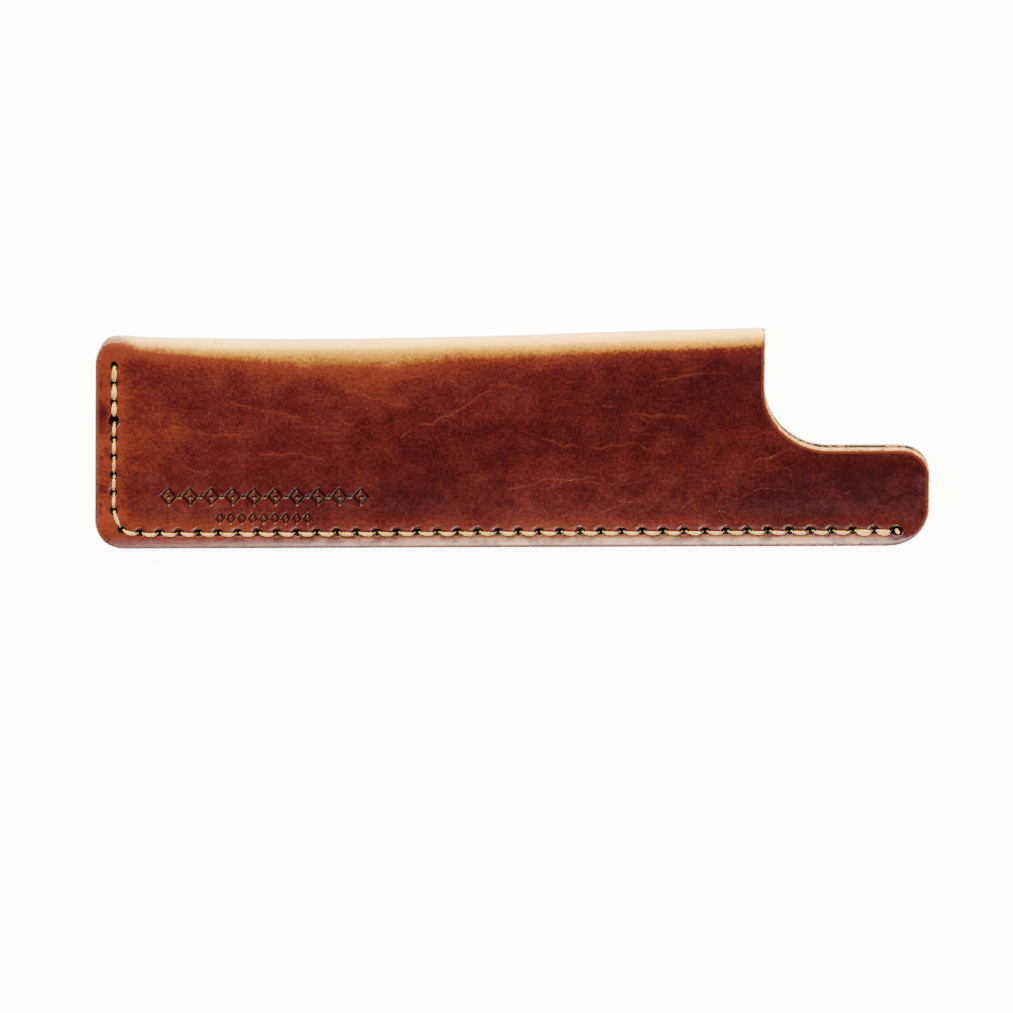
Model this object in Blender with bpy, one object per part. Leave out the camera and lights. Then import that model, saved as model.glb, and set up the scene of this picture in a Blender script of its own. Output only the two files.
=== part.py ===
"""A beard comb in its folded leather sheath.

The sheath is one leather blank, folded along its top edge and sewn down its closed end and along
its bottom edge with a lockstitch of two threads. The comb is cut from sheet steel. Its teeth point
to the fold, and its narrow handle lies in the sheath's tab. It slides out of the open end, along +X.

The frame is metres, +Z up. The sheath lies on its back, with its length along X and the fold
towards +Y. The origin is under the middle of its box.
"""

import math

import bmesh
import bpy
import numpy as np
from mathutils import Vector
from mathutils.geometry import delaunay_2d_cdt, intersect_point_line

MM = 0.001

# The sheath's outline, seen from above. X runs from the closed end and Y from the bottom edge.
LENGTH = 150.6 * MM
TAB_TOP = 19.2 * MM  # top edge of the narrow tab
MOUTH_X = 120.75 * MM  # where the fold ends, at the finger notch
NOTCH_RADIUS = 11.5 * MM  # the hollow corner of the notch
BOTTOM_RISE = 0.55 * MM  # how far the bottom edge climbs from end to end
LEAN = 0.5 * MM  # how far the closed end leans in by the time it meets the fold's corner
CORNER_CLOSED = 5.3 * MM
CORNER_OPEN = 7.5 * MM
CORNER_TAB = 5.2 * MM
FOLD_CORNER_LENGTH = 6.0 * MM  # along the leather, from the fold to where the corner's arc ends
FOLD_CORNER_SET_BACK = 5.2 * MM  # how far the corner's arc has come in at the fold
MOUTH_EASE = 0.8 * MM  # the small rounding where the mouth meets the fold
# The line where the front layer meets the fold sags a little: a cubic through these (X, Y) places.
FOLD_PLACES = [(0.0, 37.85 * MM), (31.5 * MM, 36.95 * MM), (75.0 * MM, 37.65 * MM), (MOUTH_X, 39.1 * MM)]

# Leather and fold
LEATHER = 1.6 * MM
FOLD_RADIUS = 2.5 * MM  # outside of the leather, so the sheath is twice this thick
SEAM_GAP = 0.3 * MM  # left between the two layers where they are sewn
PILLOW = 4.2 * MM  # how far from the seam the leather takes to rise to its full height
PINCH_AT_FOLD = 0.5  # how much of the seam's pinch is left at the fold of the closed end
PINCH_RETURN = 4.8 * MM  # along the leather, from the fold to where the pinch is whole again

# Seam
SEAM_X = (3.35 * MM, 3.95 * MM)  # distance from the closed end, at the bottom and at the top
SEAM_TOP = 34.65 * MM
SEAM_CORNER = (4.92 * MM, 3.93 * MM)
SEAM_Y = 3.3 * MM
SEAM_START_X = 8.25 * MM  # first hole of the long run
END_STITCHES = 8  # down the closed end
END_PITCH = 3.4 * MM
LONG_STITCHES = 37
LONG_PITCH = (3.5 * MM, 3.873 * MM)  # the first stitch and the last
HOLE_HALF_LENGTH = 0.95 * MM  # awl holes are diamonds, long way along the seam
HOLE_HALF_WIDTH = 0.8 * MM
THREAD_RADIUS = 0.28 * MM
THREAD_STAND_OFF = 0.2 * MM
PEG_RADIUS = 0.25 * MM  # the thread where it goes down a hole

# Comb
COMB_THICKNESS = 1.2 * MM
COMB_LEFT = 8.4 * MM
COMB_RIGHT = 149.0 * MM
COMB_BACK = 7.8 * MM  # Y of the straight back
TEETH_ROOT = 18.6 * MM
TEETH_TIP = 35.9 * MM
COMB_NOTCH_CLEAR = 3.6 * MM  # how far the comb stays behind the notch's edge
COMB_CORNER = 3.0 * MM
COMB_CHAMFER = 1.0 * MM  # on the outer corners of the two guard teeth
HANDLE_CORNER = 3.7 * MM
GUARD_TOOTH = 3.6 * MM
FINE_TEETH, FINE_PITCH = 25, 2.0 * MM
COARSE_TEETH, COARSE_PITCH = 16, 3.1 * MM
TOOTH_SHARE = 0.54  # share of the pitch that the tooth takes at its root
TIP_SHARE = 0.26  # and at its tip
TIP_HEIGHT = 1.1 * MM  # the tip narrows over this height

# What follows from these
MID_Z = FOLD_RADIUS
QUARTER = (FOLD_RADIUS - LEATHER / 2) * math.pi / 2  # along the leather, from the fold's apex to its line
SEAM_DROP = FOLD_RADIUS - LEATHER - SEAM_GAP / 2  # each layer's step down to the seam
FOLD_CUBIC = np.polyfit(*zip(*FOLD_PLACES), 3)
HALF_WIDTH = (FOLD_PLACES[-1][1] + FOLD_RADIUS) / 2

# How finely the solids are drawn
ARC_STEPS = 7  # edges to each rounded corner
PILLOW_LINES = [0.3, 0.5, 0.74, 1.01]  # lines along the seam, as shares of PILLOW
PANEL_LINES = [17.0 * MM, 27.0 * MM]  # Y of the lines along the panel
FOLD_LINES = [-1, -2 / 3, -1 / 3, 0, 1 / 3, 2 / 3, 1]  # lines along the fold, as shares of QUARTER
CROSS_PITCH = 11.5 * MM  # between the lines across the sheath
EDGE_ROOM = 0.5 * MM  # a line stops this far from the leather's edge
THREAD_SIDES = 6


# ---- Outline ----


def smooth(t):
    """0 below 0, 1 above 1, and an even curve between."""
    t = min(max(t, 0.0), 1.0)
    return t * t * (3 - 2 * t)


def fold_y(x):
    """Y of the fold's tangent line at x. Beyond the mouth, where there is no fold, it stays level."""
    return float(np.polyval(FOLD_CUBIC, min(x, MOUTH_X)))


def bottom_y(x):
    return BOTTOM_RISE * x / LENGTH


def arc(centre, radius, start_deg, end_deg, steps=ARC_STEPS):
    """Points from one angle to another round a centre, both ends included."""
    angles = [math.radians(start_deg + (end_deg - start_deg) * i / steps) for i in range(steps + 1)]
    return [(centre[0] + radius * math.cos(a), centre[1] + radius * math.sin(a)) for a in angles]


def along_leather(x, y):
    """Turns a place on the front layer, seen from above, into its distance from the fold's apex."""
    return QUARTER + fold_y(x) - y


def fold_corner_x(s):
    """X of the closed end's edge in the corner at the fold, where s is the distance from the fold."""
    radius = (FOLD_CORNER_LENGTH**2 + FOLD_CORNER_SET_BACK**2) / (2 * FOLD_CORNER_SET_BACK)
    return LEAN + radius - math.sqrt(radius**2 - (FOLD_CORNER_LENGTH - s) ** 2)


def blank_outline():
    """The flat blank as (x, distance from the fold). The front half runs from the fold at the closed
    end, round the bottom edge and the tab, to the fold at the mouth, and the back half mirrors it."""
    over_fold = [share * QUARTER for share in FOLD_LINES if share >= 0]
    past_fold = [QUARTER + (FOLD_CORNER_LENGTH - QUARTER) * share for share in (1 / 3, 2 / 3, 1)]
    front = [(fold_corner_x(s), s) for s in over_fold + past_fold]

    seen_from_above = [
        *arc((CORNER_CLOSED, CORNER_CLOSED), CORNER_CLOSED, 180, 270),
        *arc((LENGTH - CORNER_OPEN, BOTTOM_RISE + CORNER_OPEN), CORNER_OPEN, 270, 360),
        *arc((LENGTH - CORNER_TAB, TAB_TOP - CORNER_TAB), CORNER_TAB, 0, 90),
        *arc((MOUTH_X + NOTCH_RADIUS, TAB_TOP + NOTCH_RADIUS), NOTCH_RADIUS, 270, 180),
    ]
    front += [(x, along_leather(x, y)) for x, y in seen_from_above]
    front += [(MOUTH_X, s) for s in reversed(over_fold[1:])]
    front += [(MOUTH_X, MOUTH_EASE), (MOUTH_X - MOUTH_EASE, 0)]
    return front + [(x, -s) for x, s in reversed(front[1:-1])]


def seam_holes():
    """(x, y, direction along the seam in radians) of each stitch hole, seen from above."""
    holes = []
    for i in range(END_STITCHES + 1):
        y = SEAM_TOP - END_PITCH * i
        x = SEAM_X[0] + (SEAM_X[1] - SEAM_X[0]) * y / SEAM_TOP
        holes.append((x, y, math.pi / 2))
    holes.append((*SEAM_CORNER, -math.pi / 4))
    x = SEAM_START_X
    for i in range(LONG_STITCHES + 1):
        holes.append((x, SEAM_Y + bottom_y(x), 0.0))
        x += LONG_PITCH[0] + (LONG_PITCH[1] - LONG_PITCH[0]) * i / (LONG_STITCHES - 1)
    return holes


# ---- Leather ----


def seam_drop(x, s):
    """How far each layer is pressed in from the sheath's full thickness. s is along the leather."""
    y = fold_y(x) - (abs(s) - QUARTER)
    held = PINCH_AT_FOLD + (1 - PINCH_AT_FOLD) * smooth(abs(s) / PINCH_RETURN)
    open_from_end = 1 - held * (1 - smooth((x - SEAM_X[1]) / PILLOW))
    open_from_bottom = smooth((y - bottom_y(x) - SEAM_Y) / PILLOW)
    return SEAM_DROP * (1 - open_from_end * open_from_bottom)


def folded(x, s, depth):
    """Folds a point of the flat blank. s is positive on the front. depth is into the leather."""
    radius = FOLD_RADIUS - depth
    angle = min(abs(s) / QUARTER, 1.0) * math.pi / 2
    y = fold_y(x) + radius * math.cos(angle) - max(abs(s) - QUARTER, 0.0)
    z = MID_Z + math.copysign((radius - seam_drop(x, s)) * math.sin(angle), s)
    return Vector((x - LENGTH / 2, y - HALF_WIDTH, z))


def inside_ring(point, ring):
    """Whether a point is inside a closed ring of points, by counting the edges to its right."""
    inside = False
    for start, end in zip(ring, ring[1:] + ring[:1]):
        if (start.y > point.y) != (end.y > point.y):
            crossing = start.lerp(end, (point.y - start.y) / (end.y - start.y))
            if point.x < crossing.x:
                inside = not inside
    return inside


def near_ring(point, ring):
    for start, end in zip(ring, ring[1:] + ring[:1]):
        share = intersect_point_line(point, start, end)[1]
        if (point - start.lerp(end, min(max(share, 0), 1))).length < EDGE_ROOM:
            return True
    return False


def bending_lines(ring):
    """Points and edges inside the flat blank, on the lines where the leather bends."""
    columns = [SEAM_X[1] + share * PILLOW for share in PILLOW_LINES]
    columns += np.arange(columns[-1] + CROSS_PITCH / 2, LENGTH, CROSS_PITCH).tolist()

    def row(distance_from_fold):
        line = [Vector((x, distance_from_fold(x))) for x in columns]
        return [point for point in line if inside_ring(point, ring) and not near_ring(point, ring)]

    rows = []
    for side in (1, -1):
        for share in PILLOW_LINES:
            rise = SEAM_Y + share * PILLOW
            rows.append(row(lambda x: side * along_leather(x, bottom_y(x) + rise)))
        for y in PANEL_LINES:
            rows.append(row(lambda x: side * along_leather(x, y)))
    for share in FOLD_LINES:
        s = share * QUARTER
        mouth = MOUTH_X if share else MOUTH_X - MOUTH_EASE
        rows.append([Vector((fold_corner_x(abs(s)), s)), *row(lambda x: s), Vector((mouth, s))])

    points, edges = [], []
    for line in rows:
        numbers = range(len(points), len(points) + len(line))
        edges += list(zip(numbers, numbers[1:]))
        points += line
    return points, edges


def flat_blank():
    """The blank's triangles with its stitch holes left open: (flat points, triangles)."""
    ring = [Vector(place) for place in blank_outline()]
    holes = []
    for x, y, direction in seam_holes():
        for side in (1, -1):
            hole = []
            for corner in range(4):
                reach = HOLE_HALF_WIDTH if corner % 2 else HOLE_HALF_LENGTH
                angle = direction + corner * math.pi / 2
                corner_x = x + reach * math.cos(angle)
                corner_y = y + reach * math.sin(angle)
                hole.append(Vector((corner_x, side * along_leather(corner_x, corner_y))))
            holes.append(hole)

    points, edges = [], []
    for loop in [ring, *holes]:
        numbers = list(range(len(points), len(points) + len(loop)))
        edges += list(zip(numbers, numbers[1:] + numbers[:1]))
        points += loop
    inner_points, inner_edges = bending_lines(ring)
    edges += [(a + len(points), b + len(points)) for a, b in inner_edges]
    points += inner_points

    places, _, triangles, _, _, _ = delaunay_2d_cdt(points, edges, [], 0, 1e-9)
    kept = []
    for triangle in triangles:
        centre = sum((places[v] for v in triangle), Vector((0, 0))) / 3
        if inside_ring(centre, ring) and not any(inside_ring(centre, hole) for hole in holes):
            kept.append(triangle)
    return places, kept


def make_sheath(material):
    """The flat blank, folded at both of its surfaces, with walls round its edge and its holes."""
    places, triangles = flat_blank()
    bm = bmesh.new()
    outside = [bm.verts.new(folded(place.x, place.y, 0)) for place in places]
    inside = [bm.verts.new(folded(place.x, place.y, LEATHER)) for place in places]
    rim = set()
    for triangle in triangles:
        bm.faces.new([outside[v] for v in triangle])
        bm.faces.new([inside[v] for v in reversed(triangle)])
        for start, end in zip(triangle, triangle[1:] + triangle[:1]):
            if (end, start) in rim:
                rim.remove((end, start))
            else:
                rim.add((start, end))
    for start, end in sorted(rim):
        bm.faces.new([outside[end], outside[start], inside[start], inside[end]])
    made = make_object("sheath_leather", bm, material)
    made.data.shade_smooth()
    made.data.set_sharp_from_angle(angle=math.radians(40))
    return made


# ---- Thread ----


def make_thread(name, side, material):
    """One of the lockstitch's two threads: a run on the leather's face, and a peg down each hole
    that stops just short of the other thread's. side is 1 for the front and -1 for the back."""
    height = FOLD_RADIUS - SEAM_DROP + THREAD_STAND_OFF + THREAD_RADIUS
    over_holes = [Vector((x - LENGTH / 2, y - HALF_WIDTH, MID_Z + side * height)) for x, y, _ in seam_holes()]
    corner = END_STITCHES + 1
    route = [over_holes[0] + Vector((0, THREAD_RADIUS, 0))]
    route += over_holes[corner - 1 : corner + 2]
    route += [over_holes[-1] + Vector((THREAD_RADIUS, 0, 0))]

    # The run: a ring of corners at each point of the route.
    up = Vector((0, 0, 1))
    bm = bmesh.new()
    rings = []
    for i, point in enumerate(route):
        before = route[max(i - 1, 0)]
        after = route[min(i + 1, len(route) - 1)]
        sideways = up.cross((after - before).normalized())
        ring = []
        for step in range(THREAD_SIDES):
            angle = 2 * math.pi * step / THREAD_SIDES
            across = sideways * math.cos(angle) + up * math.sin(angle)
            ring.append(bm.verts.new(point + across * THREAD_RADIUS))
        rings.append(ring)
    for ring, following in zip(rings, rings[1:]):
        for step in range(THREAD_SIDES):
            beside = (step + 1) % THREAD_SIDES
            bm.faces.new([ring[step], ring[beside], following[beside], following[step]])
    bm.faces.new(rings[0])
    bm.faces.new(rings[-1])
    thread = make_object(name, bm, material)

    length = height - SEAM_GAP / 2
    pegs = bmesh.new()
    for point in over_holes:
        peg = bmesh.ops.create_cone(
            pegs, cap_ends=True, segments=THREAD_SIDES, radius1=PEG_RADIUS, radius2=PEG_RADIUS, depth=length
        )
        bmesh.ops.translate(pegs, verts=peg["verts"], vec=point - up * (side * length / 2))
    guide = make_object(name + "_pegs", pegs, material)
    guide.hide_render = True
    guide.display_type = "WIRE"
    join = thread.modifiers.new("pegs", "BOOLEAN")
    join.operation = "UNION"
    join.solver = "EXACT"
    join.object = guide
    return thread


# ---- Comb ----


def comb_teeth():
    """(left edge, pitch) of each tooth between the two guard teeth, and where the last gap ends."""
    x = COMB_LEFT + GUARD_TOOTH
    teeth = []
    for count, pitch in ((FINE_TEETH, FINE_PITCH), (COARSE_TEETH, COARSE_PITCH)):
        for _ in range(count):
            teeth.append((x + pitch * (1 - TOOTH_SHARE), pitch))
            x += pitch
    return teeth, x + COARSE_PITCH * (1 - TOOTH_SHARE)


def comb_outline():
    """The comb's outline, seen from above, anticlockwise from the left end of its back."""
    notch = (MOUTH_X + NOTCH_RADIUS, TAB_TOP + NOTCH_RADIUS)
    hollow = NOTCH_RADIUS + COMB_NOTCH_CLEAR
    shoulder_x = notch[0] - hollow
    handle_top = notch[1] - hollow
    handle_x = COMB_RIGHT - HANDLE_CORNER
    teeth, last_gap = comb_teeth()
    points = [
        *arc((COMB_LEFT + COMB_CORNER, COMB_BACK + COMB_CORNER), COMB_CORNER, 180, 270, 4),
        *arc((handle_x, COMB_BACK + HANDLE_CORNER), HANDLE_CORNER, 270, 360, 5),
        *arc((handle_x, handle_top - HANDLE_CORNER), HANDLE_CORNER, 0, 90, 5),
        *arc(notch, hollow, 270, 180),
        (shoulder_x, TEETH_TIP - COMB_CHAMFER),
        (shoulder_x - COMB_CHAMFER, TEETH_TIP),
        (last_gap, TEETH_TIP),
        (last_gap, TEETH_ROOT),
    ]
    for left, pitch in reversed(teeth):
        right = left + pitch * TOOTH_SHARE
        narrowing = pitch * (TOOTH_SHARE - TIP_SHARE) / 2
        points += [
            (right, TEETH_ROOT),
            (right, TEETH_TIP - TIP_HEIGHT),
            (right - narrowing, TEETH_TIP),
            (left + narrowing, TEETH_TIP),
            (left, TEETH_TIP - TIP_HEIGHT),
            (left, TEETH_ROOT),
        ]
    points += [
        (COMB_LEFT + GUARD_TOOTH, TEETH_ROOT),
        (COMB_LEFT + GUARD_TOOTH, TEETH_TIP),
        (COMB_LEFT + COMB_CHAMFER, TEETH_TIP),
        (COMB_LEFT, TEETH_TIP - COMB_CHAMFER),
    ]
    return points


def make_comb(material):
    """The comb's outline as one face, extruded to the sheet's thickness."""
    bm = bmesh.new()
    base = MID_Z - COMB_THICKNESS / 2
    face = bm.faces.new([bm.verts.new((x - LENGTH / 2, y - HALF_WIDTH, base)) for x, y in comb_outline()])
    grown = bmesh.ops.extrude_face_region(bm, geom=[face])
    lifted = [item for item in grown["geom"] if isinstance(item, bmesh.types.BMVert)]
    bmesh.ops.translate(bm, verts=lifted, vec=(0, 0, COMB_THICKNESS))
    return make_object("comb", bm, material)


# ---- Objects ----


def make_object(name, bm, material):
    """Turns a bmesh into an object with its faces pointing out and loose points left behind."""
    bmesh.ops.delete(bm, geom=[v for v in bm.verts if not v.link_faces], context="VERTS")
    bmesh.ops.recalc_face_normals(bm, faces=bm.faces)
    mesh = bpy.data.meshes.new(name)
    bm.to_mesh(mesh)
    bm.free()
    mesh.materials.append(material)
    made = bpy.data.objects.new(name, mesh)
    bpy.context.scene.collection.objects.link(made)
    return made


def make_material(name, colour, roughness, metallic=0.0):
    material = bpy.data.materials.new(name)
    material.use_nodes = True
    shader = material.node_tree.nodes["Principled BSDF"]
    shader.inputs["Base Color"].default_value = (*colour, 1)
    shader.inputs["Roughness"].default_value = roughness
    shader.inputs["Metallic"].default_value = metallic
    return material


def main():
    for old in list(bpy.data.objects):
        bpy.data.objects.remove(old)
    make_sheath(make_material("leather", (0.19, 0.042, 0.014), 0.42))
    make_thread("needle_thread", 1, make_material("needle_thread", (0.78, 0.63, 0.4), 0.7))
    make_thread("bobbin_thread", -1, make_material("bobbin_thread", (0.78, 0.63, 0.4), 0.7))
    make_comb(make_material("steel", (0.62, 0.61, 0.59), 0.3, metallic=1.0))


main()
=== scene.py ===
"""How the beard comb and its leather sheath look.

The sheath is built flat, as its leather is cut, in (x, s): x runs from the closed end and s is the
distance along the leather from the fold, positive on the front. It is then folded. These lengths
and the ones that follow from them are millimetres, and make_mesh turns them into the frame's metres.
"""

import math

import bpy
import numpy as np
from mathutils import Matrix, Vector, noise
from mathutils.geometry import delaunay_2d_cdt


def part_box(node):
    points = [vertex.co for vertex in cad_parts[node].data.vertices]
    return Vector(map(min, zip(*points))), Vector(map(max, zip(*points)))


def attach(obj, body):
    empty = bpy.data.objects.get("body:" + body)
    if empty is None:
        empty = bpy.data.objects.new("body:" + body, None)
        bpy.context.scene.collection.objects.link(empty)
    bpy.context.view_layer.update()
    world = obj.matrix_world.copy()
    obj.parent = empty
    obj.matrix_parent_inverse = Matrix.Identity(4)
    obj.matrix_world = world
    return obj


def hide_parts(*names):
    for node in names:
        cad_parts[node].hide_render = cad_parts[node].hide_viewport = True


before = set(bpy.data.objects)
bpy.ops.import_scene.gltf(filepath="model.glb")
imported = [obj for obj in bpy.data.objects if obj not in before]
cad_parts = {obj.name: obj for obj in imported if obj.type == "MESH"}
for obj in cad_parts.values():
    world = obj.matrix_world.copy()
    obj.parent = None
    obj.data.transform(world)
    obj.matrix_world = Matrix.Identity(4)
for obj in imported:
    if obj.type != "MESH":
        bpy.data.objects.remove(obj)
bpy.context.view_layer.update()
MM = 0.001
LOW, HIGH = (np.array(corner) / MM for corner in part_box("sheath_leather"))

# ---- The sheath's shape, as in the CAD ----

LENGTH = HIGH[0] - LOW[0]
FOLD_RADIUS = (HIGH[2] - LOW[2]) / 2
TAB_TOP = 19.2
MOUTH_X = 120.75
NOTCH_RADIUS = 11.5
BOTTOM_RISE = 0.55
LEAN = 0.5
CORNER_CLOSED = 5.3
CORNER_OPEN = 7.5
CORNER_TAB = 5.2
FOLD_CORNER_LENGTH = 6.0
FOLD_CORNER_SET_BACK = 5.2
MOUTH_EASE = 0.8
FOLD_PLACES = [(0.0, 37.85), (31.5, 36.95), (75.0, 37.65), (MOUTH_X, 39.1)]
LEATHER = 1.6
PINCH_AT_FOLD = 0.5
PINCH_RETURN = 4.8
SEAM_X = (3.35, 3.95)
SEAM_TOP = 34.65
SEAM_CORNER = (4.92, 3.93)
SEAM_Y = 3.3
SEAM_START_X = 8.25
END_STITCHES, END_PITCH = 8, 3.4
LONG_STITCHES, LONG_PITCH = 37, (3.5, 3.873)
MID_Z = FOLD_RADIUS
QUARTER = (FOLD_RADIUS - LEATHER / 2) * math.pi / 2
FOLD_CUBIC = np.polyfit(*zip(*FOLD_PLACES), 3)
RING_STEP = 0.4  # spacing of the points round the outline

# Softer than the CAD: the sewn layers almost meet, and the notch's edges lean towards each other.
SEWN_GAP = 0.15
SEAM_DROP = FOLD_RADIUS - LEATHER - SEWN_GAP / 2
PILLOW = 6.8  # how far from the seam the leather takes to rise to its full height
LIP_DROP = 0.26
LIP_REACH = 3.4


def smooth(t):
    t = np.clip(t, 0, 1)
    return t * t * (3 - 2 * t)


def one_side(points):
    """Flat places with those of the back laid over the front's."""
    return np.stack([points[:, 0], np.abs(points[:, 1])], axis=1)


def bell(distance, width):
    return np.exp(-((distance / width) ** 2))


def fold_line(x):
    return np.polyval(FOLD_CUBIC, np.minimum(x, MOUTH_X))


def bottom_line(x):
    return BOTTOM_RISE * x / LENGTH


def along_leather(x, y):
    """Distance from the fold of a place on the front that is seen from above."""
    return QUARTER + fold_line(x) - y


def seen_y(x, s):
    """The other way round: Y of a flat place, on either side."""
    return fold_line(x) + QUARTER - np.abs(s)


def arc(centre, radius, start_deg, end_deg, steps=24):
    angles = np.radians(np.linspace(start_deg, end_deg, steps + 1))
    return np.stack([centre[0] + radius * np.cos(angles), centre[1] + radius * np.sin(angles)], axis=1)


def resampled(line, step, closed=False):
    """The line's points, evenly spaced, both ends included unless it is closed."""
    if closed:
        line = np.concatenate([line, line[:1]])
    run = np.concatenate([[0], np.cumsum(np.linalg.norm(np.diff(line, axis=0), axis=1))])
    places = np.linspace(0, run[-1], round(run[-1] / step) + 1)
    if closed:
        places = places[:-1]
    return np.stack([np.interp(places, run, line[:, k]) for k in (0, 1)], axis=1)


def blank_outline():
    """The flat blank's outline: the front half, from the fold round the tab to the mouth, then the back."""
    s = np.linspace(0, FOLD_CORNER_LENGTH, 16)
    radius = (FOLD_CORNER_LENGTH**2 + FOLD_CORNER_SET_BACK**2) / (2 * FOLD_CORNER_SET_BACK)
    x = LEAN + radius - np.sqrt(radius**2 - (FOLD_CORNER_LENGTH - s) ** 2)
    seen_from_above = np.concatenate(
        [
            arc((CORNER_CLOSED, CORNER_CLOSED), CORNER_CLOSED, 180, 270),
            arc((LENGTH - CORNER_OPEN, BOTTOM_RISE + CORNER_OPEN), CORNER_OPEN, 270, 360),
            arc((LENGTH - CORNER_TAB, TAB_TOP - CORNER_TAB), CORNER_TAB, 0, 90),
            arc((MOUTH_X + NOTCH_RADIUS, TAB_TOP + NOTCH_RADIUS), NOTCH_RADIUS, 270, 180),
        ]
    )
    seen_from_above = resampled(seen_from_above, RING_STEP)
    flat = np.stack([seen_from_above[:, 0], along_leather(*seen_from_above.T)], axis=1)
    mouth = [(MOUTH_X, QUARTER), (MOUTH_X, MOUTH_EASE), (MOUTH_X - MOUTH_EASE, 0)]
    front = np.concatenate([np.stack([x, s], axis=1), flat, mouth])
    return np.concatenate([front, front[-2:0:-1] * (1, -1)])


def stitch_holes():
    """(x, y) of each stitch hole seen from above, down the closed end and along the bottom."""
    holes = []
    for i in range(END_STITCHES + 1):
        y = SEAM_TOP - END_PITCH * i
        holes.append((SEAM_X[0] + (SEAM_X[1] - SEAM_X[0]) * y / SEAM_TOP, y))
    holes.append(SEAM_CORNER)
    x = SEAM_START_X
    for i in range(LONG_STITCHES + 1):
        holes.append((x, SEAM_Y + bottom_line(x)))
        x += LONG_PITCH[0] + (LONG_PITCH[1] - LONG_PITCH[0]) * i / (LONG_STITCHES - 1)
    return np.array(holes)


def distance_to_line(points, line):
    """Distance of each point from an open line of points."""
    nearest = np.full(len(points), np.inf)
    for start, end in zip(line[:-1], line[1:]):
        span = end - start
        share = np.clip((points - start) @ span / (span @ span), 0, 1)
        nearest = np.minimum(nearest, np.linalg.norm(points - start - share[:, None] * span, axis=1))
    return nearest


def distance_to_points(points, places):
    nearest = np.full(len(points), np.inf)
    for place in places:
        nearest = np.minimum(nearest, np.linalg.norm(points - place, axis=1))
    return nearest


OUTLINE = blank_outline()
HOLES = stitch_holes()
FLAT_HOLES = np.stack([HOLES[:, 0], along_leather(*HOLES.T)], axis=1)
CUT_EDGE = OUTLINE[: len(OUTLINE) // 2 + 1 : 3]  # of the front half, which the back mirrors
UNSEWN_ABOVE = 8.0  # the tab's end is held shut by the seam below this
PAST_MOUTH = CUT_EDGE[:, 0] > MOUTH_X - 1
OPEN_EDGE = CUT_EDGE[PAST_MOUTH & (seen_y(*CUT_EDGE.T) > UNSEWN_ABOVE)]  # tab, notch and mouth


def seam_drop(x, s):
    """How far each layer is pressed in from the sheath's full thickness."""
    held = PINCH_AT_FOLD + (1 - PINCH_AT_FOLD) * smooth(np.abs(s) / PINCH_RETURN)
    open_from_end = 1 - held * (1 - smooth((x - SEAM_X[1]) / PILLOW))
    open_from_bottom = smooth((seen_y(x, s) - bottom_line(x) - SEAM_Y) / PILLOW)
    pressed = SEAM_DROP * (1 - open_from_end * open_from_bottom)
    to_opening = distance_to_line(one_side(np.stack([x, s], axis=1)), OPEN_EDGE)
    lip = smooth(1 - to_opening / LIP_REACH)
    away_from_fold = smooth((np.abs(s) - QUARTER) / PINCH_RETURN)
    return np.maximum(pressed, LIP_DROP * lip * away_from_fold)


def folded(x, s, depth):
    """Folds flat places and puts them in the row frame. depth is into the leather."""
    radius = FOLD_RADIUS - depth
    angle = np.minimum(np.abs(s) / QUARTER, 1) * math.pi / 2
    y = fold_line(x) + radius * np.cos(angle) - np.maximum(np.abs(s) - QUARTER, 0)
    z = MID_Z + np.sign(s) * (radius - seam_drop(x, s)) * np.sin(angle)
    return np.stack([x + LOW[0], y + LOW[1], z], axis=1)


# ---- Surface of the leather: creases, tooling, wear, and painted shade along the fold ----

# Creases on the front, seen from above. The back has the same ones turned half round.
CREASES = [
    [(50, 35), (53, 35.5)],
    [(55, 33), (60, 32.8), (65, 32)],
    [(45, 32.5), (47.5, 30.4), (50, 29), (56.5, 27.5)],
    [(55.5, 21.5), (58, 23.6), (61, 24.5), (66, 26.5), (70, 29.8), (73, 31.5), (78.5, 30.5)],
    [(79, 34.5), (86, 36.5)],
    [(89.5, 27), (93.5, 27.5), (97, 26), (106.5, 25.5)],
    [(80.5, 21.5), (84.5, 20), (91.5, 19.5), (97, 20.5), (102.5, 18.5)],
    [(75, 11.5), (80.5, 13.5), (86.5, 13.5), (91.5, 13)],
    [(101, 32), (109, 33.5), (113.5, 33.5)],
    [(119.5, 17), (125.5, 19.5)],
    [(25, 28), (31.5, 26.5), (37, 25.5)],
    [(14.5, 23.5), (21.5, 22), (26.5, 22.5), (29, 22)],
    [(6.5, 29), (13, 28)],
    [(30, 18.5), (37, 18.5), (42.5, 17.5)],
    [(36, 25), (40, 25)],
    [(44.5, 25), (46, 24)],
    [(16, 16.5), (20.5, 14.5)],
    [(135, 11), (136, 11.2)],
]
CREASE_TURN = (124.0, 43.0)  # a crease at (x, y) on the front is at this less (x, y) on the back
CREASE_WIDTH = 0.15
CREASE_DEPTH = 0.035
CREASE_WANDER = 0.55  # how far a crease strays from its line
CREASE_WANDER_LENGTH = 2.3  # wavelength of its straying
CREASE_PATCH_LENGTH = 3.1  # wavelength of its fading in and out
CREASE_REACH = 1.2  # no mark further from the line than this

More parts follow.
